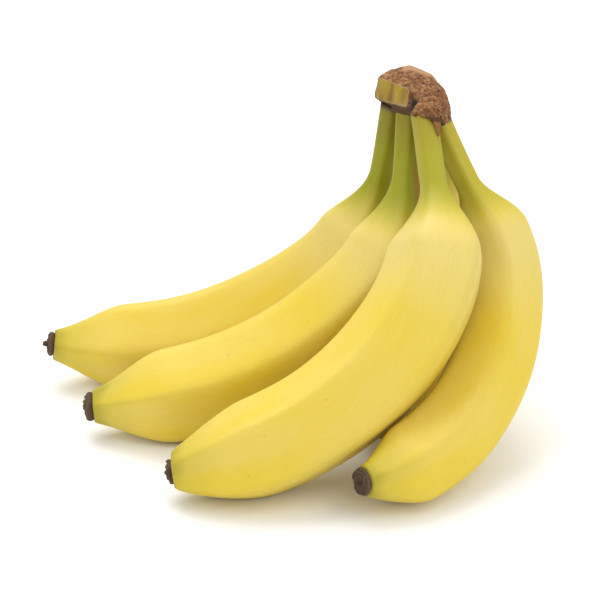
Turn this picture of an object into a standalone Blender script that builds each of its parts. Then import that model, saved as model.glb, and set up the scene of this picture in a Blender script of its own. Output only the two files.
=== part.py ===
"""A bunch of five bananas, cut from its stalk and resting on the bellies of its fingers.

Every finger is a tube swept along its own curved spine with a rounded five-sided section. The necks end
in sockets under a corky crown, and each finger ends in its dried flower remnant. Lengths in the tables
are millimetres and angles are degrees; the meshes are in metres. +X is the side away from the tips,
-Y is the side that the front finger bulges to, and +Z is up. The bunch stands on Z = 0.
"""

import math
from collections import namedtuple

import bmesh
import bpy
import numpy as np

MM = 0.001

# Where the crown's middle stands, so that the origin lies under the middle of the bunch's box.
CROWN_CENTRE = (52.76, 43.86, 0.0)

# Size of an average finger, which the table scales finger by finger.
BODY_RADIUS = 18.8
NECK_RADIUS = 5.7
TIP_RADIUS = 5.2
WAIST = 0.08            # how much thinner the body gets away from its thickest station
THICKEST_AT = 0.60      # share of the length where the body is thickest
WAIST_REACH = 0.35

# Shares of the length over which a spine makes each of its turns.
NECK_TURN_REACH = 0.20
SHOULDER_TURN_FROM = 0.14
SHOULDER_TURN_REACH = 0.26
BODY_TURN_FROM = 0.30
TIP_TURN_FROM = 0.75
SWAY_FROM = 0.20

# The rounded pentagon of the section.
FACES = 5
CORNER_SHARPNESS = 7.0
FACE_DISTANCES = (1.00, 0.97, 1.02, 0.98, 1.01)
SECTION_SCALE = 0.945   # keeps the mean width of the pentagon at the stated radius

# Mesh density and clearances.
STEPS = 200             # steps of the spine's integration
SIDES = 20
RINGS = 30
ENDS_CLOSER = 0.06      # how strongly the rings gather towards both ends
CLEARANCE = 0.3         # gap between neighbouring pieces
BELLY_FLAT = 0.8        # how far a belly is pressed flat where it rests

# The dried flower remnant at the end of a finger: a torn cap, and the nib of the dried style on it.
TIP_BACK = 2.4          # how far before the spine's end the peel stops
TIP_RINGS = ((0.0, 0.98), (0.9, 1.10), (2.4, 1.02), (3.1, 0.72), (3.4, 0.40))
NIB_SHARE = 0.24        # the nib's radius as a share of the finger's end radius
NIBS = (2.6, 1.0, 1.4, 0.2, 1.8)
TIP_SIDES = 14

SOCKET_DEPTH = 16.0     # length of neck that the crown's sockets are cut for
CUTTER_RINGS = 5
SHARP_ANGLE = 50.0      # edges sharper than this are shaded as edges

# turns: how far the spine turns in the neck, the shoulder, the body and the last quarter.
# neck: where the neck ends and how long it flares, as shares of the length, and its girth.
# end: length of the taper, how bottle-shaped it is (0 round, 1 bottle), and the girth at the tip.
Finger = namedtuple("Finger", "root start heading turns sway length girth neck end ridge twist")

# Roots are measured from the crown's middle in X and Y, and from the floor in Z.
FINGERS = (
    Finger((-7.8, 10.5, 123.0), (162, -83.5), 186.0, (6, 31.5, 61.5, -6), 0.0, 205, 0.98,
           (0.14, 0.15, 0.90), (0.17, 0.7, 0.92), 284, 0),
    Finger((-0.9, 1.0, 125.0), (265, -68), 182.0, (2, 32.5, 58, -7.5), 0.5, 203, 1.01,
           (0.13, 0.17, 1.0), (0.17, 0.7, 0.99), 270, 6),
    Finger((4.5, -9.5, 126.5), (278, -48), 175.0, (-2, 21.5, 75.5, -5), 2.0, 207, 1.06,
           (0.152, 0.155, 0.98), (0.18, 0.35, 0.82), 290, -18),
    Finger((11.0, -3.0, 119.5), (315, -57), 217.5, (-7.5, 26.5, 83, 1.5), -1.0, 191.5, 0.86,
           (0.14, 0.12, 0.92), (0.13, 0.8, 0.96), 294, -26),
    Finger((8.0, 10.0, 119.5), (55, -66.5), 246.0, (1, 40, 80.5, 0), 1.0, 170, 0.90,
           (0.20, 0.22, 0.98), (0.22, 0.6, 0.95), 276, 0),
)

# Corners of the crown, measured in the same way: the rim of its top, the rim of its underside, and
# the collar that closes round the necks below its cut face.
CROWN_TOP = ((-13.5, 5, 136), (-2, -7, 135), (7, -11, 131), (13, -5, 127), (15.6, 3, 125.5),
             (13.3, 8, 130.5), (8.4, 12, 135.4), (-0.2, 14, 138.6), (-9, 14, 136))
CROWN_BASE = ((-15, 5, 127.5), (-1.4, -8.5, 128), (3.5, -15.5, 125), (11, -10, 119.5),
              (16, -2, 120), (16, 7, 119), (12, 16, 117), (1, 19, 117), (-10, 18, 120.5),
              (-14, 12, 124.5))
COLLAR = ((-8.2, -0.6, 122.9), (-0.5, -8.3, 124), (-8, 0.2, 129), (-0.5, -7.8, 130),
          (7, -4, 121), (5, 6, 120), (-7, 8, 121))

# Corners of the flap that drapes over the front neck, and of the drip of dried sap below it: how far
# along that neck from its root, how far across it and how far out from its middle line.
FLAP = ((0, -6.3, -1), (1.5, -6.4, 0.5), (3.3, -5, 4.4), (4.6, 0, 6.8), (7.2, 2.6, 6.5), (7.2, 5.5, 4.5),
        (6.5, 7.2, 0.5), (0, -4.2, 6.0), (0, 2, 7.0), (-7, 6, 6), (-4, 9, 0), (-6, -3, 2), (1, 11, -1))
DRIP = ((6, 1.6, 6.8), (6, 5.2, 4.9), (13.2, 3.4, 5.9), (13.4, 4.2, 5.3), (6, 1.5, 4.8), (6, 3.8, 3.4),
        (13.2, 3.2, 4.6))
FLAP_FINGER = 3         # the number of the front finger
CROWN_ROUNDING = 0.9

COLOURS = {
    "peel": ((0.86, 0.66, 0.12, 1), 0.42),
    "crown": ((0.36, 0.20, 0.10, 1), 0.85),
    "dried_tip": ((0.09, 0.06, 0.045, 1), 0.9),
}


def clear_scene():
    for obj in list(bpy.data.objects):
        bpy.data.objects.remove(obj, do_unlink=True)


def material(slot):
    colour, roughness = COLOURS[slot]
    made = bpy.data.materials.get(slot) or bpy.data.materials.new(slot)
    made.use_nodes = True
    shader = made.node_tree.nodes["Principled BSDF"]
    shader.inputs["Base Color"].default_value = colour
    shader.inputs["Roughness"].default_value = roughness
    shader.inputs["Metallic"].default_value = 0.0
    return made


def smooth(x):
    x = np.clip(x, 0, 1)
    return x * x * (3 - 2 * x)


def direction(azimuth, elevation):
    azimuth, elevation = math.radians(azimuth), math.radians(elevation)
    level = math.cos(elevation)
    return np.array([level * math.cos(azimuth), level * math.sin(azimuth), math.sin(elevation)])


def spine(finger):
    """Points, tangents and inward normals along a finger, from its root to its tip."""
    u = np.linspace(0, 1, STEPS + 1)
    start = direction(*finger.start)
    side = np.cross(start, direction(finger.heading, 0))
    side /= np.linalg.norm(side)
    inward = np.cross(side, start)
    neck, shoulder, body, tip = finger.turns
    turn = neck * smooth(u / NECK_TURN_REACH)
    turn += shoulder * smooth((u - SHOULDER_TURN_FROM) / SHOULDER_TURN_REACH)
    turn += body * np.clip((u - BODY_TURN_FROM) / (1 - BODY_TURN_FROM), 0, 1)
    turn += tip * smooth((u - TIP_TURN_FROM) / (1 - TIP_TURN_FROM))
    turn = np.radians(turn)[:, None]
    sway = np.radians(finger.sway * np.clip((u - SWAY_FROM) / (1 - SWAY_FROM), 0, 1))[:, None]
    tangent = np.cos(sway) * (np.cos(turn) * start + np.sin(turn) * inward) + np.sin(sway) * side
    normal = np.cos(turn) * inward - np.sin(turn) * start
    steps = (tangent[1:] + tangent[:-1]) / 2 * finger.length / STEPS
    points = np.vstack([np.zeros(3), np.cumsum(steps, axis=0)]) + finger.root + CROWN_CENTRE
    return points, tangent, normal


def radius(finger, u):
    """Mean radius along a finger: slim neck, flared shoulder, full body and tapered end."""
    neck_end, flare, neck_girth = finger.neck
    taper, bottle, tip_girth = finger.end
    body = BODY_RADIUS * finger.girth * (1 - WAIST * ((u - THICKEST_AT) / WAIST_REACH) ** 2)
    neck = NECK_RADIUS * neck_girth
    full = neck + (body - neck) * smooth((u - neck_end) / flare)
    left = np.clip((1 - u) / taper, 0, 1)
    closing = (1 - bottle) * np.sqrt(1 - (1 - left) ** 2) + bottle * smooth(left)
    end = TIP_RADIUS * tip_girth
    return end + (full - end) * closing


def section(angle):
    """Distance from the spine to the rounded pentagon's edge, for a mean radius of one."""
    total = np.zeros_like(angle)
    for i, distance in enumerate(FACE_DISTANCES):
        facing = np.cos(angle - (i + 0.5) * 2 * math.pi / FACES)
        total += (np.maximum(facing, 0) / distance) ** CORNER_SHARPNESS
    return SECTION_SCALE * total ** (-1 / CORNER_SHARPNESS)


def finger_rings(finger, stations, grow=0.0):
    """Rings of points in millimetres around the spine, at shares of the finger's length."""
    points, tangents, normals = spine(finger)
    around = np.arange(SIDES) * 2 * math.pi / SIDES
    rings = []
    for u in stations:
        at = u * STEPS
        low = min(max(int(at), 0), STEPS - 1)
        share = at - low
        centre = points[low] * (1 - share) + points[low + 1] * share
        tangent = tangents[low] * (1 - share) + tangents[low + 1] * share
        normal = normals[low]
        side = np.cross(tangent, normal)
        side /= np.linalg.norm(side)
        normal = np.cross(side, tangent)
        first_corner = math.radians(finger.ridge + finger.twist * (u - BODY_TURN_FROM))
        reach = radius(finger, np.clip(u, 0, 1)) * section(around) + grow
        angle = (around + first_corner)[:, None]
        rings.append(centre + reach[:, None] * (np.cos(angle) * normal + np.sin(angle) * side))
    return np.array(rings)


def settled(rings, root_height):
    """The finger let down or raised from its root by a percent or so, until its belly rests on the floor."""
    rings = rings.copy()
    lowest = rings[..., 2].min()
    stretch = (root_height + BELLY_FLAT) / (root_height - lowest)
    rings[..., 2] = root_height - (root_height - rings[..., 2]) * stretch
    rings[..., 2] = np.maximum(rings[..., 2], 0)
    return rings


def tube(name, rings, slot):
    """A closed tube through rings of points given in millimetres."""
    mesh = bpy.data.meshes.new(name)
    build = bmesh.new()
    loops = [[build.verts.new(point * MM) for point in ring] for ring in rings]
    for before, after in zip(loops, loops[1:]):
        count = len(before)
        for i in range(count):
            j = (i + 1) % count
            build.faces.new((before[i], before[j], after[j], after[i]))
    build.faces.new(list(reversed(loops[0])))
    build.faces.new(loops[-1])
    bmesh.ops.recalc_face_normals(build, faces=build.faces)
    build.to_mesh(mesh)
    build.free()
    return placed(name, mesh, slot)


def placed(name, mesh, slot):
    mesh.shade_smooth()
    mesh.set_sharp_from_angle(angle=math.radians(SHARP_ANGLE))
    obj = bpy.data.objects.new(name, mesh)
    obj.data.materials.append(material(slot))
    bpy.context.scene.collection.objects.link(obj)
    return obj


def body_stations(finger):
    """Ring places, closer together in the neck, at the shoulder and at the tapering end."""
    even = np.linspace(0, 1, RINGS)
    eased = even - ENDS_CLOSER * np.sin(2 * math.pi * even)
    return eased * (1 - TIP_BACK / finger.length)


def make_banana(number, finger):
    rings = settled(finger_rings(finger, body_stations(finger)), finger.root[2])
    return tube(f"banana_{number}", rings, "peel"), rings


def make_blossom_tip(number, finger, peel_rings):
    """The dried flower remnant, seated on the end of the peel."""
    last = peel_rings[-1]
    centre = last.mean(axis=0)
    outward = centre - peel_rings[-2].mean(axis=0)
    outward /= np.linalg.norm(outward)
    across = last[0] - centre
    across -= outward * (across @ outward)
    across /= np.linalg.norm(across)
    side = np.cross(outward, across)
    size = TIP_RADIUS * finger.end[2]
    around = (np.arange(TIP_SIDES) * 2 * math.pi / TIP_SIDES)[:, None]
    circle = np.cos(around) * across + np.sin(around) * side
    start = centre + outward * CLEARANCE
    nib = (TIP_RINGS[-1][0] + NIBS[number - 1], NIB_SHARE)
    rings = [start + outward * along + circle * size * share for along, share in TIP_RINGS + (nib,)]
    return tube(f"blossom_tip_{number}", rings, "dried_tip")


def beside_neck(finger, corners):
    """Corners given along, across and out from a neck's middle line, turned into table coordinates."""
    along = direction(*finger.start)
    across = np.cross((0, 0, 1), along)
    across /= np.linalg.norm(across)
    out = np.cross(along, across)
    return [np.array(finger.root) + a * along + b * across + c * out for a, b, c in corners]


def hull(name, corners):
    mesh = bpy.data.meshes.new(name)
    build = bmesh.new()
    for corner in corners:
        build.verts.new((np.array(corner) + CROWN_CENTRE) * MM)
    found = bmesh.ops.convex_hull(build, input=build.verts)
    bmesh.ops.delete(build, geom=[v for v in found["geom_interior"] if v.is_valid], context="VERTS")
    bmesh.ops.recalc_face_normals(build, faces=build.faces)
    build.to_mesh(mesh)
    build.free()
    return placed(name, mesh, "crown")


def helper(obj):
    obj.hide_render = True
    obj.display_type = "WIRE"
    return obj


def neck_cutter(number, finger):
    """The top of a neck, grown by the clearance, that cuts its socket in the crown."""
    depth = SOCKET_DEPTH / finger.length
    above = CLEARANCE / finger.length
    rings = finger_rings(finger, np.linspace(-above, depth, CUTTER_RINGS), grow=CLEARANCE)
    return helper(tube(f"socket_cutter_{number}", rings, "crown"))


def combine(obj, other, operation):
    step = obj.modifiers.new(other.name, "BOOLEAN")
    step.operation = operation
    step.object = other
    step.solver = "EXACT"


def make_crown():
    crown = hull("crown", CROWN_TOP + CROWN_BASE)
    rounding = crown.modifiers.new("rounding", "BEVEL")
    rounding.width = CROWN_ROUNDING * MM
    rounding.segments = 2
    rounding.limit_method = "ANGLE"
    front = FINGERS[FLAP_FINGER - 1]
    combine(crown, helper(hull("collar_form", COLLAR)), "UNION")
    combine(crown, helper(hull("flap_form", beside_neck(front, FLAP))), "UNION")
    combine(crown, helper(hull("drip_form", beside_neck(front, DRIP))), "UNION")
    for number, finger in enumerate(FINGERS, 1):
        combine(crown, neck_cutter(number, finger), "DIFFERENCE")
    return crown


def main():
    clear_scene()
    make_crown()
    for number, finger in enumerate(FINGERS, 1):
        _, rings = make_banana(number, finger)
        make_blossom_tip(number, finger, rings)


main()
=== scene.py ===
"""The looks of a bunch of five bananas on a plain white floor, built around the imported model.

Each finger is swept again at high resolution along the spine that the model uses, the crown is remeshed
from the hulls of the model's corners and weathered, and the dried flower remnants get their rings and
torn rims.
Lengths in the tables are millimetres and angles are degrees; the meshes are in metres.
"""

import math
from collections import namedtuple

import bmesh
import bpy
import numpy as np
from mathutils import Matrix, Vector, noise


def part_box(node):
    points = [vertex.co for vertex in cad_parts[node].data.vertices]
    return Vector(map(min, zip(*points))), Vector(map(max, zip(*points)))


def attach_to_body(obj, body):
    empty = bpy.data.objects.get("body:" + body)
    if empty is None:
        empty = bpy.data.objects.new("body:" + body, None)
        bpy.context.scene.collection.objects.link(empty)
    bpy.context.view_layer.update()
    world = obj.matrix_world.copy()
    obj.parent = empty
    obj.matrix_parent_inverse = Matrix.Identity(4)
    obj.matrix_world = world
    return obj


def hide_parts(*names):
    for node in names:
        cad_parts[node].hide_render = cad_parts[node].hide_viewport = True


MM = 0.001

# The finger's formulas, the same as the model's.
BODY_RADIUS = 18.8
NECK_RADIUS = 5.7
TIP_RADIUS = 5.2
WAIST = 0.08
THICKEST_AT = 0.60
WAIST_REACH = 0.35
FACES = 5
FACE_DISTANCES = (1.00, 0.97, 1.02, 0.98, 1.01)
SECTION_SCALE = 0.945
TIP_BACK = 2.4
BELLY_FLAT = 0.8
NECK_TURN_REACH = 0.20
SHOULDER_TURN_FROM = 0.14
SHOULDER_TURN_REACH = 0.26
BODY_TURN_FROM = 0.30
TIP_TURN_FROM = 0.75
SWAY_FROM = 0.20

# Finer than the model: steps of the spine, mesh density, crispness of the ridges, lumps in the peel.
STEPS = 400
RINGS = 150
SIDES = 64
BODY_SHARPNESS = 10.0
NECK_SHARPNESS = 6.0
LUMP_SIZE = 26.0
LUMP_HEIGHT = 0.35
LUMPS_FULL_AT = 3.0     # height above the floor at which the lumps reach their full size
LUMP_SEED_STEP = 7.3    # how far apart the fingers' lumps are taken
ENDS_CLOSER = 0.05      # how strongly the rings gather towards both ends
BODIED_FROM, BODIED_REACH, BODIED_END = 0.15, 0.20, 0.12    # where the ridges sharpen and soften again
RIDGE_NARROWNESS = 12   # how narrow the coloured line along each ridge is
PATTERN_STEP = np.array([0.31, 0.17, 0.43])     # how far apart the fingers' patterns are taken
BACK_FINGER = 1
BACK_FINGER_SHIFT = 0.8     # this finger lies this much nearer its neighbour than the model's solid
RIPENESS = (0.0, 0.05, 0.25, 0.60, 0.45)    # how far each neck has turned from green to khaki
# an orange-brown streak down one neck, on the side that faces the crevice between the necks
STREAK_FINGER = 2
STREAK_FACES = (0.80, -0.60, 0.0)
STREAK_FROM, STREAK_FADES_IN, STREAK_TO, STREAK_FADES_OUT = 0.06, 0.05, 0.24, 0.06   # shares of the length
STREAK_EDGE, STREAK_SOFTNESS = 0.80, 0.15       # how nearly a point has to face that way

Finger = namedtuple("Finger", "root start heading turns sway length girth neck end ridge twist")

FINGERS = (
    Finger((-7.8, 10.5, 123.0), (162, -83.5), 186.0, (6, 31.5, 61.5, -6), 0.0, 205, 0.98,
           (0.14, 0.15, 0.90), (0.17, 0.7, 0.92), 284, 0),
    Finger((-0.9, 1.0, 125.0), (265, -68), 182.0, (2, 32.5, 58, -7.5), 0.5, 203, 1.01,
           (0.13, 0.17, 1.0), (0.17, 0.7, 0.99), 270, 6),
    Finger((4.5, -9.5, 126.5), (278, -48), 175.0, (-2, 21.5, 75.5, -5), 2.0, 207, 1.06,
           (0.152, 0.155, 0.98), (0.18, 0.35, 0.82), 290, -18),
    Finger((11.0, -3.0, 119.5), (315, -57), 217.5, (-7.5, 26.5, 83, 1.5), -1.0, 191.5, 0.86,
           (0.14, 0.12, 0.92), (0.13, 0.8, 0.96), 294, -26),
    Finger((8.0, 10.0, 119.5), (55, -66.5), 246.0, (1, 40, 80.5, 0), 1.0, 170, 0.90,
           (0.20, 0.22, 0.98), (0.22, 0.6, 0.95), 276, 0),
)

# Corners of the crown, as in the model, measured from its middle in X and Y and from the floor in Z:
# the rim of its top, the rim of its underside, and the collar that closes round the necks below its
# cut face.
CROWN_TOP = ((-13.5, 5, 136), (-2, -7, 135), (7, -11, 131), (13, -5, 127), (15.6, 3, 125.5),
             (13.3, 8, 130.5), (8.4, 12, 135.4), (-0.2, 14, 138.6), (-9, 14, 136))
CROWN_BASE = ((-15, 5, 127.5), (-1.4, -8.5, 128), (3.5, -15.5, 125), (11, -10, 119.5),
              (16, -2, 120), (16, 7, 119), (12, 16, 117), (1, 19, 117), (-10, 18, 120.5),
              (-14, 12, 124.5))
COLLAR = ((-8.2, -0.6, 122.9), (-0.5, -8.3, 124), (-8, 0.2, 129), (-0.5, -7.8, 130),
          (7, -4, 121), (5, 6, 120), (-7, 8, 121))

# Corners of the flap that drapes over the front neck, and of the drip of dried sap below it: how far
# along that neck from its root, how far across it and how far out from its middle line.
FLAP = ((0, -6.3, -1), (1.5, -6.4, 0.5), (3.3, -5, 4.4), (4.6, 0, 6.8), (7.2, 2.6, 6.5), (7.2, 5.5, 4.5),
        (6.5, 7.2, 0.5), (0, -4.2, 6.0), (0, 2, 7.0), (-7, 6, 6), (-4, 9, 0), (-6, -3, 2), (1, 11, -1))
DRIP = ((6, 1.6, 6.8), (6, 5.2, 4.9), (13.2, 3.4, 5.9), (13.4, 4.2, 5.3), (6, 1.5, 4.8), (6, 3.8, 3.4),
        (13.2, 3.2, 4.6))
FLAP_FINGER = 3         # the number of the front finger
CROWN_WEST = -15.0      # the lowest X of the crown's corners; rounding draws its box in by 0.3 mm there
CROWN_NORTH = 19.0      # the highest Y of the crown's corners; rounding draws its box in by 0.3 mm there

# The camera: the point it aims at, how far it looks down, its distance, its azimuth and its lens.
AIM = (7.76, 24.36, 48.0)
LOOK_DOWN = 24.0
DISTANCE = 824.0
CAMERA_SIDE = -90.0
LENS = 120.0
SENSOR = 36.0


def smooth(x):
    x = np.clip(x, 0, 1)
    return x * x * (3 - 2 * x)


def direction(azimuth, elevation):
    azimuth, elevation = math.radians(azimuth), math.radians(elevation)
    level = math.cos(elevation)
    return np.array([level * math.cos(azimuth), level * math.sin(azimuth), math.sin(elevation)])


def crown_centre():
    """The crown's middle, from its box: within 0.3 mm of the model's in X and Y."""
    low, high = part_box("crown")
    return np.array([low[0] / MM - CROWN_WEST, high[1] / MM - CROWN_NORTH, 0.0])


def spine(finger, centre):
    """Points, tangents and inward normals along a finger, from its root to its tip."""
    u = np.linspace(0, 1, STEPS + 1)
    start = direction(*finger.start)
    side = np.cross(start, direction(finger.heading, 0))
    side /= np.linalg.norm(side)
    inward = np.cross(side, start)
    neck, shoulder, body, tip = finger.turns
    turn = neck * smooth(u / NECK_TURN_REACH)
    turn += shoulder * smooth((u - SHOULDER_TURN_FROM) / SHOULDER_TURN_REACH)
    turn += body * np.clip((u - BODY_TURN_FROM) / (1 - BODY_TURN_FROM), 0, 1)
    turn += tip * smooth((u - TIP_TURN_FROM) / (1 - TIP_TURN_FROM))
    turn = np.radians(turn)[:, None]
    sway = np.radians(finger.sway * np.clip((u - SWAY_FROM) / (1 - SWAY_FROM), 0, 1))[:, None]
    tangent = np.cos(sway) * (np.cos(turn) * start + np.sin(turn) * inward) + np.sin(sway) * side
    normal = np.cos(turn) * inward - np.sin(turn) * start
    steps = (tangent[1:] + tangent[:-1]) / 2 * finger.length / STEPS
    points = np.vstack([np.zeros(3), np.cumsum(steps, axis=0)]) + finger.root + centre
    return points, tangent, normal


def radius(finger, u):
    """Mean radius along a finger: slim neck, flared shoulder, full body and tapered end."""
    neck_end, flare, neck_girth = finger.neck
    taper, bottle, tip_girth = finger.end
    body = BODY_RADIUS * finger.girth * (1 - WAIST * ((u - THICKEST_AT) / WAIST_REACH) ** 2)
    neck = NECK_RADIUS * neck_girth
    full = neck + (body - neck) * smooth((u - neck_end) / flare)
    left = np.clip((1 - u) / taper, 0, 1)
    closing = (1 - bottle) * np.sqrt(1 - (1 - left) ** 2) + bottle * smooth(left)
    end = TIP_RADIUS * tip_girth
    return end + (full - end) * closing


def section(angle, sharpness):
    """Distance from the spine to the rounded pentagon's edge, for a mean radius of one."""
    total = np.zeros_like(angle)
    for i, distance in enumerate(FACE_DISTANCES):
        facing = np.cos(angle - (i + 0.5) * 2 * math.pi / FACES)
        total += (np.maximum(facing, 0) / distance) ** sharpness
    return SECTION_SCALE * total ** (-1 / sharpness)


def finger_rings(finger, centre, stations):
    """Rings of points in millimetres around the spine, at shares of the finger's length."""
    points, tangents, normals = spine(finger, centre)
    around = np.arange(SIDES) * 2 * math.pi / SIDES
    rings = []
    for u in stations:
        at = u * STEPS
        low = min(int(at), STEPS - 1)
        share = at - low
        middle = points[low] * (1 - share) + points[low + 1] * share
        tangent = tangents[low] * (1 - share) + tangents[low + 1] * share
        side = np.cross(tangent, normals[low])
        side /= np.linalg.norm(side)
        normal = np.cross(side, tangent)
        first_corner = math.radians(finger.ridge + finger.twist * (u - BODY_TURN_FROM))
        bodied = smooth((u - BODIED_FROM) / BODIED_REACH) * smooth((1 - u) / BODIED_END)
        sharpness = NECK_SHARPNESS + (BODY_SHARPNESS - NECK_SHARPNESS) * bodied
        reach = radius(finger, u) * section(around, sharpness)
        angle = (around + first_corner)[:, None]
        rings.append(middle + reach[:, None] * (np.cos(angle) * normal + np.sin(angle) * side))
    return np.array(rings)


def settled(rings, root_height):
    """The finger stretched or shrunk in height, by up to 4.3 %, so that its belly rests on the floor."""
    rings = rings.copy()
    lowest = rings[..., 2].min()
    stretch = (root_height + BELLY_FLAT) / (root_height - lowest)
    rings[..., 2] = root_height - (root_height - rings[..., 2]) * stretch
    rings[..., 2] = np.maximum(rings[..., 2], 0)
    return rings


def lumpy(rings, seed):
    """Slow swells in the peel, none where a belly rests."""
    moved = rings.copy()
    for r in range(1, len(rings) - 1):
        middle = rings[r].mean(axis=0)
        for s in range(SIDES):
            point = rings[r, s]
            out = point - middle
            out /= np.linalg.norm(out)
            height = noise.noise(Vector(point / LUMP_SIZE) + Vector((seed, 0, 0))) * LUMP_HEIGHT
            moved[r, s] = point + out * height * min(point[2] / LUMPS_FULL_AT, 1.0)
    return moved


def mesh_object(name, points, faces):
    mesh = bpy.data.meshes.new(name)
    mesh.from_pydata([tuple(p) for p in np.asarray(points) * MM], [], faces)
    mesh.validate()
    mesh.shade_smooth()
    obj = bpy.data.objects.new(name, mesh)
    bpy.context.scene.collection.objects.link(obj)
    return obj


def tube_faces(count, sides):
    """The faces of a closed tube through this many rings."""
    faces = []
    for r in range(count - 1):
        for s in range(sides):
            t = (s + 1) % sides
            faces.append((r * sides + s, r * sides + t, (r + 1) * sides + t, (r + 1) * sides + s))
    faces.append(tuple(reversed(range(sides))))
    faces.append(tuple(range((count - 1) * sides, count * sides)))
    return faces


def set_attribute(obj, name, values):
    made = obj.data.attributes.new(name, "FLOAT", "POINT")
    made.data.foreach_set("value", np.asarray(values, np.float32))


def set_vectors(obj, name, values):
    made = obj.data.attributes.new(name, "FLOAT_VECTOR", "POINT")
    made.data.foreach_set("vector", np.asarray(values, np.float32).ravel())


# ---------------------------------------------------------------- materials


class Nodes:
    """A short way to write a node tree around one Principled BSDF."""

    def __init__(self, name):
        self.material = bpy.data.materials.new(name)
        self.material.use_nodes = True
        self.tree = self.material.node_tree
        self.shader = self.tree.nodes["Principled BSDF"]

    def node(self, kind, inputs=(), **settings):
        made = self.tree.nodes.new(kind)
        for key, value in settings.items():
            setattr(made, key, value)
        for socket, value in dict(inputs).items():
            self.plug(made.inputs[socket], value)
        return made

    def plug(self, socket, value):
        if isinstance(value, bpy.types.NodeSocket):
            self.tree.links.new(value, socket)
        else:
            socket.default_value = value

    def attribute(self, name, output="Fac"):
        return self.node("ShaderNodeAttribute", attribute_name=name).outputs[output]

    def noise(self, vector, scale, detail=3.0, roughness=0.5):
        made = self.node("ShaderNodeTexNoise", {"Vector": vector, "Scale": scale,
                                                "Detail": detail, "Roughness": roughness})
        return made.outputs["Fac"]

    def stretched(self, vector, scale):
        made = self.node("ShaderNodeMapping", {"Vector": vector, "Scale": scale})
        return made.outputs["Vector"]

    def ramp(self, value, low, high, to_low=0.0, to_high=1.0):
        made = self.node("ShaderNodeMapRange", {"Value": value, "From Min": low, "From Max": high,
                                                "To Min": to_low, "To Max": to_high},
                         interpolation_type="SMOOTHSTEP")
        return made.outputs["Result"]

    def math(self, operation, a, b=0.0):
        made = self.node("ShaderNodeMath", operation=operation)
        self.plug(made.inputs[0], a)
        self.plug(made.inputs[1], b)
        return made.outputs[0]

    def mix(self, factor, a, b, blend="MIX"):
        made = self.node("ShaderNodeMix", data_type="RGBA", blend_type=blend)
        self.plug(made.inputs["Factor"], factor)
        self.plug(made.inputs["A"], a)
        self.plug(made.inputs["B"], b)
        return made.outputs["Result"]

    def bump(self, height, strength, distance):
        made = self.node("ShaderNodeBump", {"Height": height, "Strength": strength,
                                            "Distance": distance})
        self.plug(self.shader.inputs["Normal"], made.outputs["Normal"])

    def finish(self, **values):
        for name, value in values.items():
            self.plug(self.shader.inputs[name.replace("_", " ").title()], value)
        return self.material


def colour(red, green, blue):
    return (red, green, blue, 1.0)


# Shares of a finger's length between which each colour of the peel fades in.
# the next line bounds the band of painted sheen on the shoulders
SHEEN_IN, SHEEN_OUT = (0.19, 0.28), (0.50, 0.30)
NECK_GREEN, NECK_OLIVE = (0.275, 0.165), (0.12, 0.03)
TIP_YELLOW_GREEN, TIP_OLIVE = (0.88, 0.98), (0.955, 0.990)
DRY_TIP, DRY_ROOT = (0.991, 1.000), (0.008, -0.004)
RAGGED = 0.012          # how far the dry edges wander, as a share of the length
WANDER = 0.08           # how far the colours' borders wander, as a share of the length
PEEL_SPECULAR = 0.32

YELLOW = colour(0.715, 0.535, 0.040)
PALE_YELLOW = colour(0.735, 0.560, 0.095)
# painted sheen: a pale cream tint that stands in for a broad soft highlight on the shoulders
PAINTED_SHEEN = colour(0.70, 0.575, 0.19)
GOLD = colour(0.60, 0.385, 0.012)
GREEN = colour(0.275, 0.29, 0.004)
OLIVE = colour(0.22, 0.195, 0.005)
KHAKI = colour(0.56, 0.45, 0.040)
TIP_GREEN = colour(0.27, 0.235, 0.004)
BROWN = colour(0.11, 0.06, 0.025)
STREAK_BROWN = colour(0.34, 0.17, 0.03)


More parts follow.
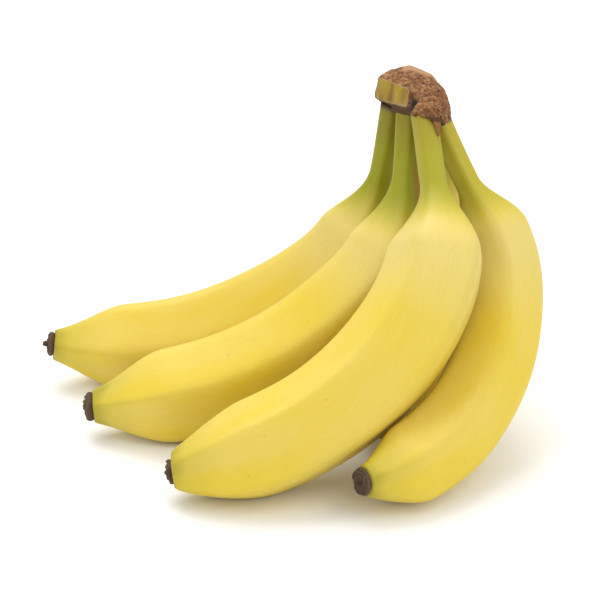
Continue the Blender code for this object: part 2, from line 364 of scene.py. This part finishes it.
def peel_material():
    """Waxy yellow peel: olive neck, green shoulder and tip, a mottled cream band of painted sheen on the
    shoulders, brown cut ends.
    """
    nodes = Nodes("peel")
    along = nodes.attribute("along")
    ridge = nodes.attribute("ridge")
    streak = nodes.attribute("streak")
    ripe = nodes.attribute("ripe")
    place = nodes.attribute("place", "Vector")
    drift = nodes.noise(nodes.stretched(place, (1.0, 1.0, 0.35)), scale=45.0)
    base = nodes.mix(nodes.ramp(drift, 0.35, 0.65), YELLOW, PALE_YELLOW)
    wander = nodes.math("MULTIPLY", nodes.math("SUBTRACT", drift, 0.5), WANDER)
    there = nodes.math("ADD", along, wander)
    # painted sheen: a cream band over the shoulders stands in for a soft highlight
    shoulder_sheen = nodes.math("MULTIPLY", nodes.ramp(there, *SHEEN_IN), nodes.ramp(there, *SHEEN_OUT))
    base = nodes.mix(nodes.math("MULTIPLY", shoulder_sheen, 0.75), base, PAINTED_SHEEN)
    necks = nodes.mix(nodes.ramp(there, *NECK_OLIVE, to_high=0.85), GREEN, OLIVE)
    necks = nodes.mix(ripe, necks, KHAKI)
    base = nodes.mix(nodes.ramp(there, *NECK_GREEN), base, necks)
    base = nodes.mix(nodes.ramp(there, *TIP_YELLOW_GREEN, to_high=0.30), base, GREEN)
    base = nodes.mix(nodes.ramp(there, *TIP_OLIVE, to_high=0.60), base, TIP_GREEN)
    base = nodes.mix(nodes.math("MULTIPLY", ridge, 0.10), base, OLIVE)
    fine = nodes.noise(nodes.stretched(place, (1.0, 1.0, 0.25)), scale=900.0, detail=4.0, roughness=0.6)
    base = nodes.mix(nodes.ramp(fine, 0.30, 0.75, to_high=0.14), base, GOLD)
    spots = nodes.noise(place, scale=380.0, detail=2.0)
    base = nodes.mix(nodes.ramp(spots, 0.745, 0.79, to_high=0.30), base, BROWN)
    # an orange-brown streak down one neck, on the side that faces the crevice
    base = nodes.mix(nodes.math("MULTIPLY", streak, nodes.ramp(fine, 0.3, 0.6, 0.2, 0.9)), base, STREAK_BROWN)
    rim = nodes.noise(place, scale=700.0)
    edge = nodes.math("ADD", along, nodes.math("MULTIPLY", rim, RAGGED))
    base = nodes.mix(nodes.ramp(edge, *DRY_TIP), base, BROWN)
    top = nodes.math("SUBTRACT", along, nodes.math("MULTIPLY", rim, RAGGED))
    base = nodes.mix(nodes.ramp(top, *DRY_ROOT), base, BROWN)
    nodes.bump(fine, strength=0.12, distance=0.0003)
    nodes.shader.inputs["Specular IOR Level"].default_value = PEEL_SPECULAR
    return nodes.finish(base_color=base, roughness=nodes.ramp(fine, 0.2, 0.8, 0.38, 0.52),
                        subsurface_weight=0.10, subsurface_scale=0.004,
                        subsurface_radius=(1.0, 0.6, 0.1))


CORK = colour(0.25, 0.100, 0.028)
CORK_DARK = colour(0.155, 0.056, 0.013)
FIBRE_DARK = colour(0.060, 0.020, 0.006)
FIBRE_LIGHT = colour(0.39, 0.20, 0.080)
TAN = colour(0.47, 0.275, 0.135)
CUT = colour(0.37, 0.245, 0.006)
CUT_DEEP = colour(0.24, 0.145, 0.004)
# painted shade for the crease between the cut facet's two lobes
PAINTED_CREASE_SHADE = colour(0.10, 0.060, 0.003)
CUT_EDGE = colour(0.40, 0.27, 0.13)
# painted shade: the near-black brown of the recess below the cut facet
PAINTED_RECESS_SHADE = colour(0.085, 0.045, 0.016)
# painted shade: near-black grey for the deep hollow of the pit
PAINTED_PIT_SHADE = colour(0.030, 0.028, 0.028)
SAP = colour(0.26, 0.12, 0.024)


def crown_material():
    """Corky brown, fibrous and specked, with a smooth olive cut facet and a ragged flap; painted shade
    darkens the facet's crease, the recess below the facet and the pit.
    """
    nodes = Nodes("crown")
    facet = nodes.attribute("facet")
    pit = nodes.attribute("pit")
    recess_shade = nodes.attribute("recess_shade")
    rim = nodes.attribute("rim")
    sap = nodes.attribute("sap")
    relief = nodes.attribute("relief")
    tan = nodes.attribute("tan")
    crease_shade = nodes.attribute("crease_shade")
    place = nodes.attribute("place", "Vector")
    blotch = nodes.noise(place, scale=300.0, detail=4.0, roughness=0.6)
    fibre = nodes.noise(nodes.stretched(place, (1.0, 0.5, 1.5)), scale=1300.0, detail=5.0, roughness=0.7)
    cork = nodes.mix(nodes.ramp(blotch, 0.38, 0.62), CORK, CORK_DARK)
    # darker in the hollows of the relief and paler on its crests
    cork = nodes.mix(nodes.ramp(relief, 0.45, 0.20, to_high=0.90), cork, FIBRE_DARK)
    cork = nodes.mix(nodes.ramp(relief, 0.60, 0.85, to_high=0.75), cork, FIBRE_LIGHT)
    cork = nodes.mix(nodes.ramp(fibre, 0.56, 0.68, to_high=0.75), cork, FIBRE_DARK)
    cork = nodes.mix(nodes.math("MULTIPLY", tan, 0.8), cork, TAN)
    cork = nodes.mix(sap, cork, SAP)
    cork = nodes.mix(nodes.math("MULTIPLY", rim, 0.85), cork, FIBRE_DARK)
    streaks = nodes.noise(nodes.stretched(place, (1.0, 1.0, 0.2)), scale=420.0, roughness=0.6)
    cut = nodes.mix(nodes.ramp(streaks, 0.35, 0.65), CUT, CUT_DEEP)
    # painted shade along the crease between the facet's lobes
    cut = nodes.mix(nodes.ramp(crease_shade, 0.05, 0.9, to_high=0.40), cut, PAINTED_CREASE_SHADE)
    edging = nodes.math("MULTIPLY", nodes.ramp(facet, 0.95, 0.60), nodes.ramp(facet, 0.05, 0.30))
    base = nodes.mix(facet, cork, cut)
    base = nodes.mix(edging, base, CUT_EDGE)
    # painted shade in the recess below the cut facet
    base = nodes.mix(recess_shade, base, PAINTED_RECESS_SHADE)
    # painted shade in the pit's hollow
    base = nodes.mix(pit, base, PAINTED_PIT_SHADE)
    height = nodes.math("MULTIPLY", fibre, nodes.math("SUBTRACT", 1.0, facet))
    nodes.bump(height, strength=0.7, distance=0.0006)
    rough = nodes.math("SUBTRACT", 0.85, nodes.math("MULTIPLY", facet, 0.35))
    return nodes.finish(base_color=base, roughness=rough)


DARK = colour(0.03, 0.02, 0.014)
DARK_BROWN = colour(0.085, 0.042, 0.018)
RING_BROWN = colour(0.17, 0.105, 0.060)


def tip_material():
    """Dry, nearly black flower remnant with brown rings."""
    nodes = Nodes("dried_tip")
    ring = nodes.attribute("ring")
    place = nodes.attribute("place", "Vector")
    speck = nodes.noise(place, scale=1400.0, detail=4.0, roughness=0.65)
    base = nodes.mix(nodes.ramp(speck, 0.35, 0.65), DARK, DARK_BROWN)
    base = nodes.mix(nodes.math("MULTIPLY", ring, 0.5), base, RING_BROWN)
    nodes.bump(speck, strength=0.6, distance=0.0004)
    return nodes.finish(base_color=base, roughness=0.85)


WHITE = colour(0.93, 0.93, 0.94)
BRIGHT_WHITE = colour(0.94, 0.94, 0.95)


def floor_material():
    """Matt white, very faintly mottled."""
    nodes = Nodes("floor")
    grain = nodes.noise(nodes.node("ShaderNodeTexCoord").outputs["Object"], scale=3.0, detail=2.0)
    white = nodes.mix(nodes.ramp(grain, 0.3, 0.7), WHITE, BRIGHT_WHITE)
    return nodes.finish(base_color=white, roughness=0.9)


# ---------------------------------------------------------------- pieces


def attach(piece, node, material):
    piece.data.materials.clear()
    piece.data.materials.append(material)
    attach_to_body(piece, "root")
    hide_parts(node)


def straight_place(finger, stations):
    """Where each point would lie if its finger were straight, which the peel's pattern follows."""
    around = np.arange(SIDES) * 2 * math.pi / SIDES
    place = np.zeros((len(stations), SIDES, 3))
    place[..., 0] = BODY_RADIUS * np.cos(around) * MM
    place[..., 1] = BODY_RADIUS * np.sin(around) * MM
    place[..., 2] = np.asarray(stations)[:, None] * finger.length * MM
    return place.reshape(-1, 3)


def neck_streak(rings, stations):
    """An orange-brown streak down the side of the neck that faces away from the tips, in the crevice."""
    outward = rings - rings.mean(axis=1, keepdims=True)
    outward /= np.linalg.norm(outward, axis=2, keepdims=True)
    side = smooth((outward @ np.array(STREAK_FACES) - STREAK_EDGE) / STREAK_SOFTNESS)
    share = np.asarray(stations)[:, None]
    begun = smooth((share - STREAK_FROM) / STREAK_FADES_IN)
    return (side * begun * smooth((STREAK_TO - share) / STREAK_FADES_OUT)).ravel()


def make_banana(number, finger, centre, material):
    even = np.linspace(0, 1, RINGS)
    eased = even - ENDS_CLOSER * np.sin(2 * math.pi * even)
    stations = eased * (1 - TIP_BACK / finger.length)
    rings = settled(finger_rings(finger, centre, stations), finger.root[2])
    rings = lumpy(rings, number * LUMP_SEED_STEP)
    if number == BACK_FINGER:
        rings[..., 0] += BACK_FINGER_SHIFT
    obj = mesh_object(f"peel_{number}", rings.reshape(-1, 3), tube_faces(RINGS, SIDES))
    around = np.arange(SIDES) * 2 * math.pi / SIDES
    corner = np.maximum(np.cos(around * FACES), 0) ** RIDGE_NARROWNESS
    set_attribute(obj, "along", np.repeat(stations, SIDES))
    set_attribute(obj, "ridge", np.tile(corner, RINGS))
    set_attribute(obj, "ripe", np.full(RINGS * SIDES, RIPENESS[number - 1]))
    if number == STREAK_FINGER:
        set_attribute(obj, "streak", neck_streak(rings, stations))
    offset = PATTERN_STEP * number
    set_vectors(obj, "place", straight_place(finger, stations) + offset)
    attach(obj, f"banana_{number}", material)
    return rings


# Rings of the flower remnant's cap: distance along, radius as a share of the finger's end radius, and how
# light the ring is.
CAP_PROFILE = ((0.0, 0.90, 0.2), (0.0, 1.00, 0.5), (0.5, 1.08, 0.6), (1.3, 1.13, 0.4), (2.0, 1.07, 0.8),
               (2.3, 0.97, 0.2), (2.0, 0.86, 0.0), (2.5, 0.80, 0.7), (2.6, 0.70, 0.3), (2.2, 0.60, 0.0),
               (2.7, 0.52, 0.6), (2.8, 0.42, 0.3), (2.4, 0.33, 0.0))
# Rings of the nib: distance as a share of the nib's length, radius and lightness.
NIB_PROFILE = ((0.05, 0.30, 0.1), (0.40, 0.25, 0.2), (0.85, 0.20, 0.1), (1.0, 0.08, 0.0))
CAP_DEPTHS = (1.0, 1.35, 1.0, 0.75, 1.1)    # how thick each finger's cap is, as a share of the profile
NIBS = (2.0, 0.8, 1.2, 0.2, 1.6)            # how far each nib reaches beyond NIB_FROM
NIB_FROM = 2.4
SEAT_GAP = 0.06         # how far the cap stands off the end of the peel
TORN_WIDTH = 1.8        # how closely the torn rim's waves follow each other
TORN_RING_STEP = 0.35   # how far apart the rings' waves are taken
TORN_SEED_STEP = 9.1    # and the fingers'
TORN_RINGS = 4          # the tearing grows over this many rings from the peel
TIP_SIDES = 40
TORN_OUT = 0.17
TORN_ALONG = 0.95


def make_blossom_tip(number, finger, peel, material):
    last = peel[-1]
    middle = last.mean(axis=0)
    outward = middle - peel[-4].mean(axis=0)
    outward /= np.linalg.norm(outward)
    across = last[0] - middle
    across -= outward * (across @ outward)
    across /= np.linalg.norm(across)
    side = np.cross(outward, across)
    size = TIP_RADIUS * finger.end[2]
    around = np.arange(TIP_SIDES) * 2 * math.pi / TIP_SIDES
    circle = np.cos(around)[:, None] * across + np.sin(around)[:, None] * side
    depth = CAP_DEPTHS[number - 1]
    nib = [(NIB_FROM + along * NIBS[number - 1], share, light) for along, share, light in NIB_PROFILE]
    profile = CAP_PROFILE + tuple(nib)
    rings = []
    for k, (along, share, _) in enumerate(profile):
        points = []
        for i in range(TIP_SIDES):
            turned = (math.cos(around[i]) * TORN_WIDTH, math.sin(around[i]) * TORN_WIDTH)
            torn = noise.noise(Vector((*turned, k * TORN_RING_STEP + number * TORN_SEED_STEP)))
            reach = size * share * (1 + TORN_OUT * torn)
            rise = along * depth + TORN_ALONG * torn * min(k, TORN_RINGS) / TORN_RINGS
            points.append(middle + outward * (SEAT_GAP + rise) + circle[i] * reach)
        rings.append(points)
    obj = mesh_object(f"flower_remnant_{number}", np.array(rings).reshape(-1, 3),
                      tube_faces(len(profile), TIP_SIDES))
    set_attribute(obj, "ring", np.repeat([light for _, _, light in profile], TIP_SIDES))
    set_vectors(obj, "place", np.array(rings).reshape(-1, 3) * MM)
    smoothing = obj.modifiers.new("smoothing", "SUBSURF")
    smoothing.levels = smoothing.render_levels = 1
    attach(obj, f"blossom_tip_{number}", material)


def hull_into(build, corners, centre):
    """Adds the convex hull of these corners to a bmesh."""
    part = bmesh.new()
    for corner in corners:
        part.verts.new((np.array(corner) + centre) * MM)
    found = bmesh.ops.convex_hull(part, input=part.verts)
    bmesh.ops.delete(part, geom=[v for v in found["geom_interior"] if v.is_valid], context="VERTS")
    bmesh.ops.recalc_face_normals(part, faces=part.faces)
    mesh = bpy.data.meshes.new("hull")
    part.to_mesh(mesh)
    part.free()
    build.from_mesh(mesh)
    bpy.data.meshes.remove(mesh)


CROWN_VOXEL = 0.42
SOFTENING = 0.5         # how far each round of smoothing goes
SOFTENING_ROUNDS = 4
CORK_SIZE = 2.6
CORK_HEIGHT = 0.30
STRANDS_PER_MM = (0.9, 0.9, 1.8)            # how many strands there are to a millimetre each way
STRAND_HEIGHT = 0.25
CURL_SIZE = 1.7
CURL_HEIGHT = 0.45
CURL_LEVEL = 0.4        # the share of the curls' range that lies in the crown's surface
LOBE_LEVEL = 0.6        # the same for the facet's lobes
LOBE_HEIGHT = 0.9
CREASE_AT = 0.47        # where the crease between the facet's two lobes lies across it
CREASE_WIDTH = 0.07
PIT_AT = np.array([-0.2, -10.4, 129.6])
PIT_REACH = 3.7
PIT_DEPTH = 2.6
FLAP_EDGE = 5.2         # how far along the front neck the flap's dark rim begins
SAP_FROM = 7.0
SAP_ACROSS = (-0.5, 7.5)
FLAP_FROM, FLAP_FADE = 1.5, 2               # how far along the front neck the tearing sets in
FLAP_SIDE = -8          # how far across the front neck the flap's torn edge begins
RIM_SIDE = -3.0         # and its dark rim
RIM_WAVES = 1.5
TORN_STRANDS, TORN_CORK = 1.3, 0.6          # how far the strands and the cork pull the flap's edge about
PIT_FALL = 1.15         # how far out the pit keeps its full depth before it rises to its rim
PIT_TALLER = (1, 1, 0.85)
RECESS_SIDE, RECESS_SIDE_FADE = 1.2, 3      # where the recess gives way to the flap
RECESS_CALM, TAN_CALM = 0.7, 0.6            # how much of the cork's relief these two take away
TAN_BACK, TAN_LEFT, TAN_FADE = 7.5, -5, 3   # where the pale back of the crown's top begins
TAN_UP = 2
RELIEF_MIDDLE, RELIEF_STRANDS, RELIEF_CORK, RELIEF_CURLS = 0.5, 0.5, 0.35, 0.5


def neck_axes(finger):
    """The directions along, across and out from a neck."""
    along = direction(*finger.start)
    across = np.cross((0, 0, 1), along)
    across /= np.linalg.norm(across)
    return np.array([along, across, np.cross(along, across)])


def beside_neck(finger, corners):
    return [np.array(finger.root) + np.array(corner) @ neck_axes(finger) for corner in corners]


def remeshed_crown(centre):
    build = bmesh.new()
    front = FINGERS[FLAP_FINGER - 1]
    forms = (CROWN_TOP + CROWN_BASE, COLLAR, beside_neck(front, FLAP), beside_neck(front, DRIP))
    for corners in forms:
        hull_into(build, corners, centre)
    mesh = bpy.data.meshes.new("crown_pad")
    build.to_mesh(mesh)
    build.free()
    obj = bpy.data.objects.new("crown_pad", mesh)
    bpy.context.scene.collection.objects.link(obj)
    remesh = obj.modifiers.new("remesh", "REMESH")
    remesh.mode = "VOXEL"
    remesh.voxel_size = CROWN_VOXEL * MM
    soften = obj.modifiers.new("soften", "SMOOTH")
    soften.factor = SOFTENING
    soften.iterations = SOFTENING_ROUNDS
    bpy.context.view_layer.update()
    graph = bpy.context.evaluated_depsgraph_get()
    done = bpy.data.meshes.new_from_object(obj.evaluated_get(graph))
    obj.modifiers.clear()
    obj.data = done
    bpy.data.meshes.remove(mesh)
    return obj


FACET_THICKNESS = 1.6   # how far from the facet's plane its mask reaches
FACET_SIDE_FADE = 1.2   # how sharply the mask ends at the facet's sides
FACET_TURN, FACET_TURN_FADE = 0.55, 0.25    # how nearly a point has to face the way that the cut faces
FACET_OVERHANG = 0.9    # how far below the cut's lower edge the mask reaches
RECESS_TOP, RECESS_FADE = 0.4, 1.2          # the recess begins this far above the cut's lower edge
RECESS_BEHIND, RECESS_BEHIND_FADE = 9, 3    # reaches this far behind the facet
RECESS_SHARE, RECESS_SHARE_FADE = 1.35, 4   # and runs this far across it, as a share of its width


def facet_parts(points, normals):
    """The knife facet at the crown's front left: its mask, the share across it, and the recess below it,
    where shade is painted.
    """
    a, b = np.array(CROWN_TOP[0]), np.array(CROWN_TOP[1])
    c, d = np.array(CROWN_BASE[0]), np.array(CROWN_BASE[1])
    along = (b + d - a - c) / 2
    width = np.linalg.norm(along)
    along = along / width
    facing = np.cross(along, (0, 0, 1.0))
    facing /= np.linalg.norm(facing)
    rel = points - (a + b + c + d) / 4
    share = rel @ along / width + 0.5
    bottom = c[2] + (d[2] - c[2]) * share
    turned = normals @ facing
    inside = (0.5 - np.abs(share - 0.5)) * width
    mask = smooth(FACET_THICKNESS - np.abs(rel @ facing)) * smooth(inside * FACET_SIDE_FADE)
    mask *= smooth((turned - FACET_TURN) / FACET_TURN_FADE)
    mask *= smooth(points[:, 2] - bottom + FACET_OVERHANG)
    below = smooth((bottom + RECESS_TOP - points[:, 2]) / RECESS_FADE)
    below *= smooth((rel @ facing + RECESS_BEHIND) / RECESS_BEHIND_FADE)
    return mask, share, below * smooth((RECESS_SHARE - share) * RECESS_SHARE_FADE)


def make_crown(centre, material):
    obj = remeshed_crown(centre)
    mesh = obj.data
    count = len(mesh.vertices)
    points = np.empty(count * 3)
    mesh.vertices.foreach_get("co", points)
    points = points.reshape(-1, 3) / MM - centre
    normals = np.empty(count * 3)
    mesh.vertices.foreach_get("normal", normals)
    normals = normals.reshape(-1, 3)
    front = FINGERS[FLAP_FINGER - 1]
    axes = neck_axes(front)
    along, across, _ = ((points - front.root) @ axes.T).T
    facet, share, recess_shade = facet_parts(points, normals)
    rough = np.array([noise.fractal(Vector(p / CORK_SIZE), 1.0, 2.1, 4) for p in points])
    strands = np.array([noise.noise(Vector(p * STRANDS_PER_MM)) for p in points])
    curls = np.array([noise.ridged_multi_fractal(Vector(p / CURL_SIZE), 1.0, 2.0, 3, 1.0, 2.0)
                      for p in points])
    curls = (curls - curls.min()) / np.ptp(curls)
    flap = smooth((along - FLAP_FROM) / FLAP_FADE) * (across > FLAP_SIDE)
    sap = smooth(along - SAP_FROM) * smooth(across - SAP_ACROSS[0]) * smooth(SAP_ACROSS[1] - across)
    rim = smooth(along + strands * RIM_WAVES - FLAP_EDGE) * (1 - sap) * (across > RIM_SIDE)
    # the pit's dent, which the material also paints near-black as shade
    pit = smooth(PIT_FALL - np.linalg.norm((points - PIT_AT) * PIT_TALLER, axis=1) / PIT_REACH)
    # painted shade: the recess below the cut facet, kept off the facet, the flap's rim and the flap's side
    recess_shade = recess_shade * (1 - facet) * (1 - rim) * smooth((RECESS_SIDE - across) / RECESS_SIDE_FADE)
    crest = np.where(share < CREASE_AT, share / CREASE_AT, (share - CREASE_AT) / (1 - CREASE_AT))
    lobes = np.sqrt(np.abs(np.sin(math.pi * np.clip(crest, 0, 1)))) - LOBE_LEVEL
    # where shade is painted along the crease between the facet's two lobes
    crease_shade = facet * smooth(1 - np.abs(share - CREASE_AT) / CREASE_WIDTH)
    corky = (1 - facet) * (1 - RECESS_CALM * recess_shade)
    tan = smooth((points[:, 1] - TAN_BACK) / TAN_FADE) * smooth((points[:, 0] - TAN_LEFT) / TAN_FADE)
    tan *= smooth(normals[:, 2] * TAN_UP)
    corky = corky * (1 - TAN_CALM * tan)
    height = corky * (CORK_HEIGHT * rough + STRAND_HEIGHT * strands + CURL_HEIGHT * (curls - CURL_LEVEL))
    height += facet * LOBE_HEIGHT * lobes - PIT_DEPTH * pit
    moved = points + normals * height[:, None]
    torn = flap * (1 - sap) * (TORN_STRANDS * strands + TORN_CORK * rough)
    moved += axes[0] * torn[:, None]
    mesh.vertices.foreach_set("co", ((moved + centre) * MM).ravel())
    mesh.shade_smooth()
    mesh.update()
    relief = RELIEF_MIDDLE + RELIEF_STRANDS * strands + RELIEF_CORK * rough
    relief = np.clip(relief + RELIEF_CURLS * (curls - CURL_LEVEL), 0, 1)
    for name, values in (("facet", facet), ("pit", pit), ("recess_shade", recess_shade), ("rim", rim), ("sap", sap),
                         ("relief", relief), ("tan", tan), ("crease_shade", crease_shade)):
        set_attribute(obj, name, values)
    set_vectors(obj, "place", points * MM)
    attach(obj, "crown", material)


# ---------------------------------------------------------------- studio


FLOOR_REACH = 4.0       # metres from the middle to each edge


def make_floor(material):
    size = FLOOR_REACH
    mesh = bpy.data.meshes.new("floor")
    corners = [(-size, -size, 0), (size, -size, 0), (size, size, 0), (-size, size, 0)]
    mesh.from_pydata(corners, [], [(0, 1, 2, 3)])
    floor = bpy.data.objects.new("floor", mesh)
    floor.data.materials.append(material)
    bpy.context.scene.collection.objects.link(floor)


def area_light(name, azimuth, elevation, distance, size, power):
    """A square softbox that faces the middle of the bunch."""
    lamp = bpy.data.lights.new(name, "AREA")
    lamp.shape = "SQUARE"
    lamp.size = size
    lamp.energy = power
    obj = bpy.data.objects.new(name, lamp)
    toward = Vector(direction(azimuth, elevation))
    obj.location = Vector(AIM) * MM + toward * distance
    obj.rotation_euler = toward.to_track_quat("Z", "Y").to_euler()
    bpy.context.scene.collection.objects.link(obj)


WORLD_STRENGTH = 0.72
# Each softbox: its name, azimuth, elevation, distance in metres, side in metres and power in watts.
SOFTBOXES = (("key", 112, 64, 1.4, 1.2, 14.0),
             ("fill", 215, 35, 1.6, 1.2, 4.0),
             ("side", 330, 42, 1.5, 1.2, 7.0))


def make_light():
    world = bpy.data.worlds.new("studio")
    world.use_nodes = True
    world.node_tree.nodes["Background"].inputs["Color"].default_value = colour(1, 1, 1)
    world.node_tree.nodes["Background"].inputs["Strength"].default_value = WORLD_STRENGTH
    bpy.context.scene.world = world
    for softbox in SOFTBOXES:
        area_light(*softbox)


def make_camera():
    lens = bpy.data.cameras.new("camera")
    lens.lens = LENS
    lens.sensor_width = SENSOR
    camera = bpy.data.objects.new("camera", lens)
    toward = Vector(direction(CAMERA_SIDE, LOOK_DOWN))
    camera.location = (Vector(AIM) + toward * DISTANCE) * MM
    camera.rotation_euler = toward.to_track_quat("Z", "Y").to_euler()
    bpy.context.scene.collection.objects.link(camera)
    bpy.context.scene.camera = camera


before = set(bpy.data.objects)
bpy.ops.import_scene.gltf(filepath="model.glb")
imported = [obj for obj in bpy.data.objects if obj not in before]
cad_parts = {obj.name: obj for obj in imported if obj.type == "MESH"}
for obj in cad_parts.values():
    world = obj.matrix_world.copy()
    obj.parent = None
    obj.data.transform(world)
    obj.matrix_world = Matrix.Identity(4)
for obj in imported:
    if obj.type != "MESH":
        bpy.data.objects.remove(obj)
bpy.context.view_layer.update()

make_camera()
make_light()
make_floor(floor_material())
bpy.context.scene.view_settings.view_transform = "Standard"

middle_of_crown = crown_centre()
peel = peel_material()
dried = tip_material()
make_crown(middle_of_crown, crown_material())
for index, one in enumerate(FINGERS, 1):
    skin = make_banana(index, one, middle_of_crown, peel)
    make_blossom_tip(index, one, skin, dried)
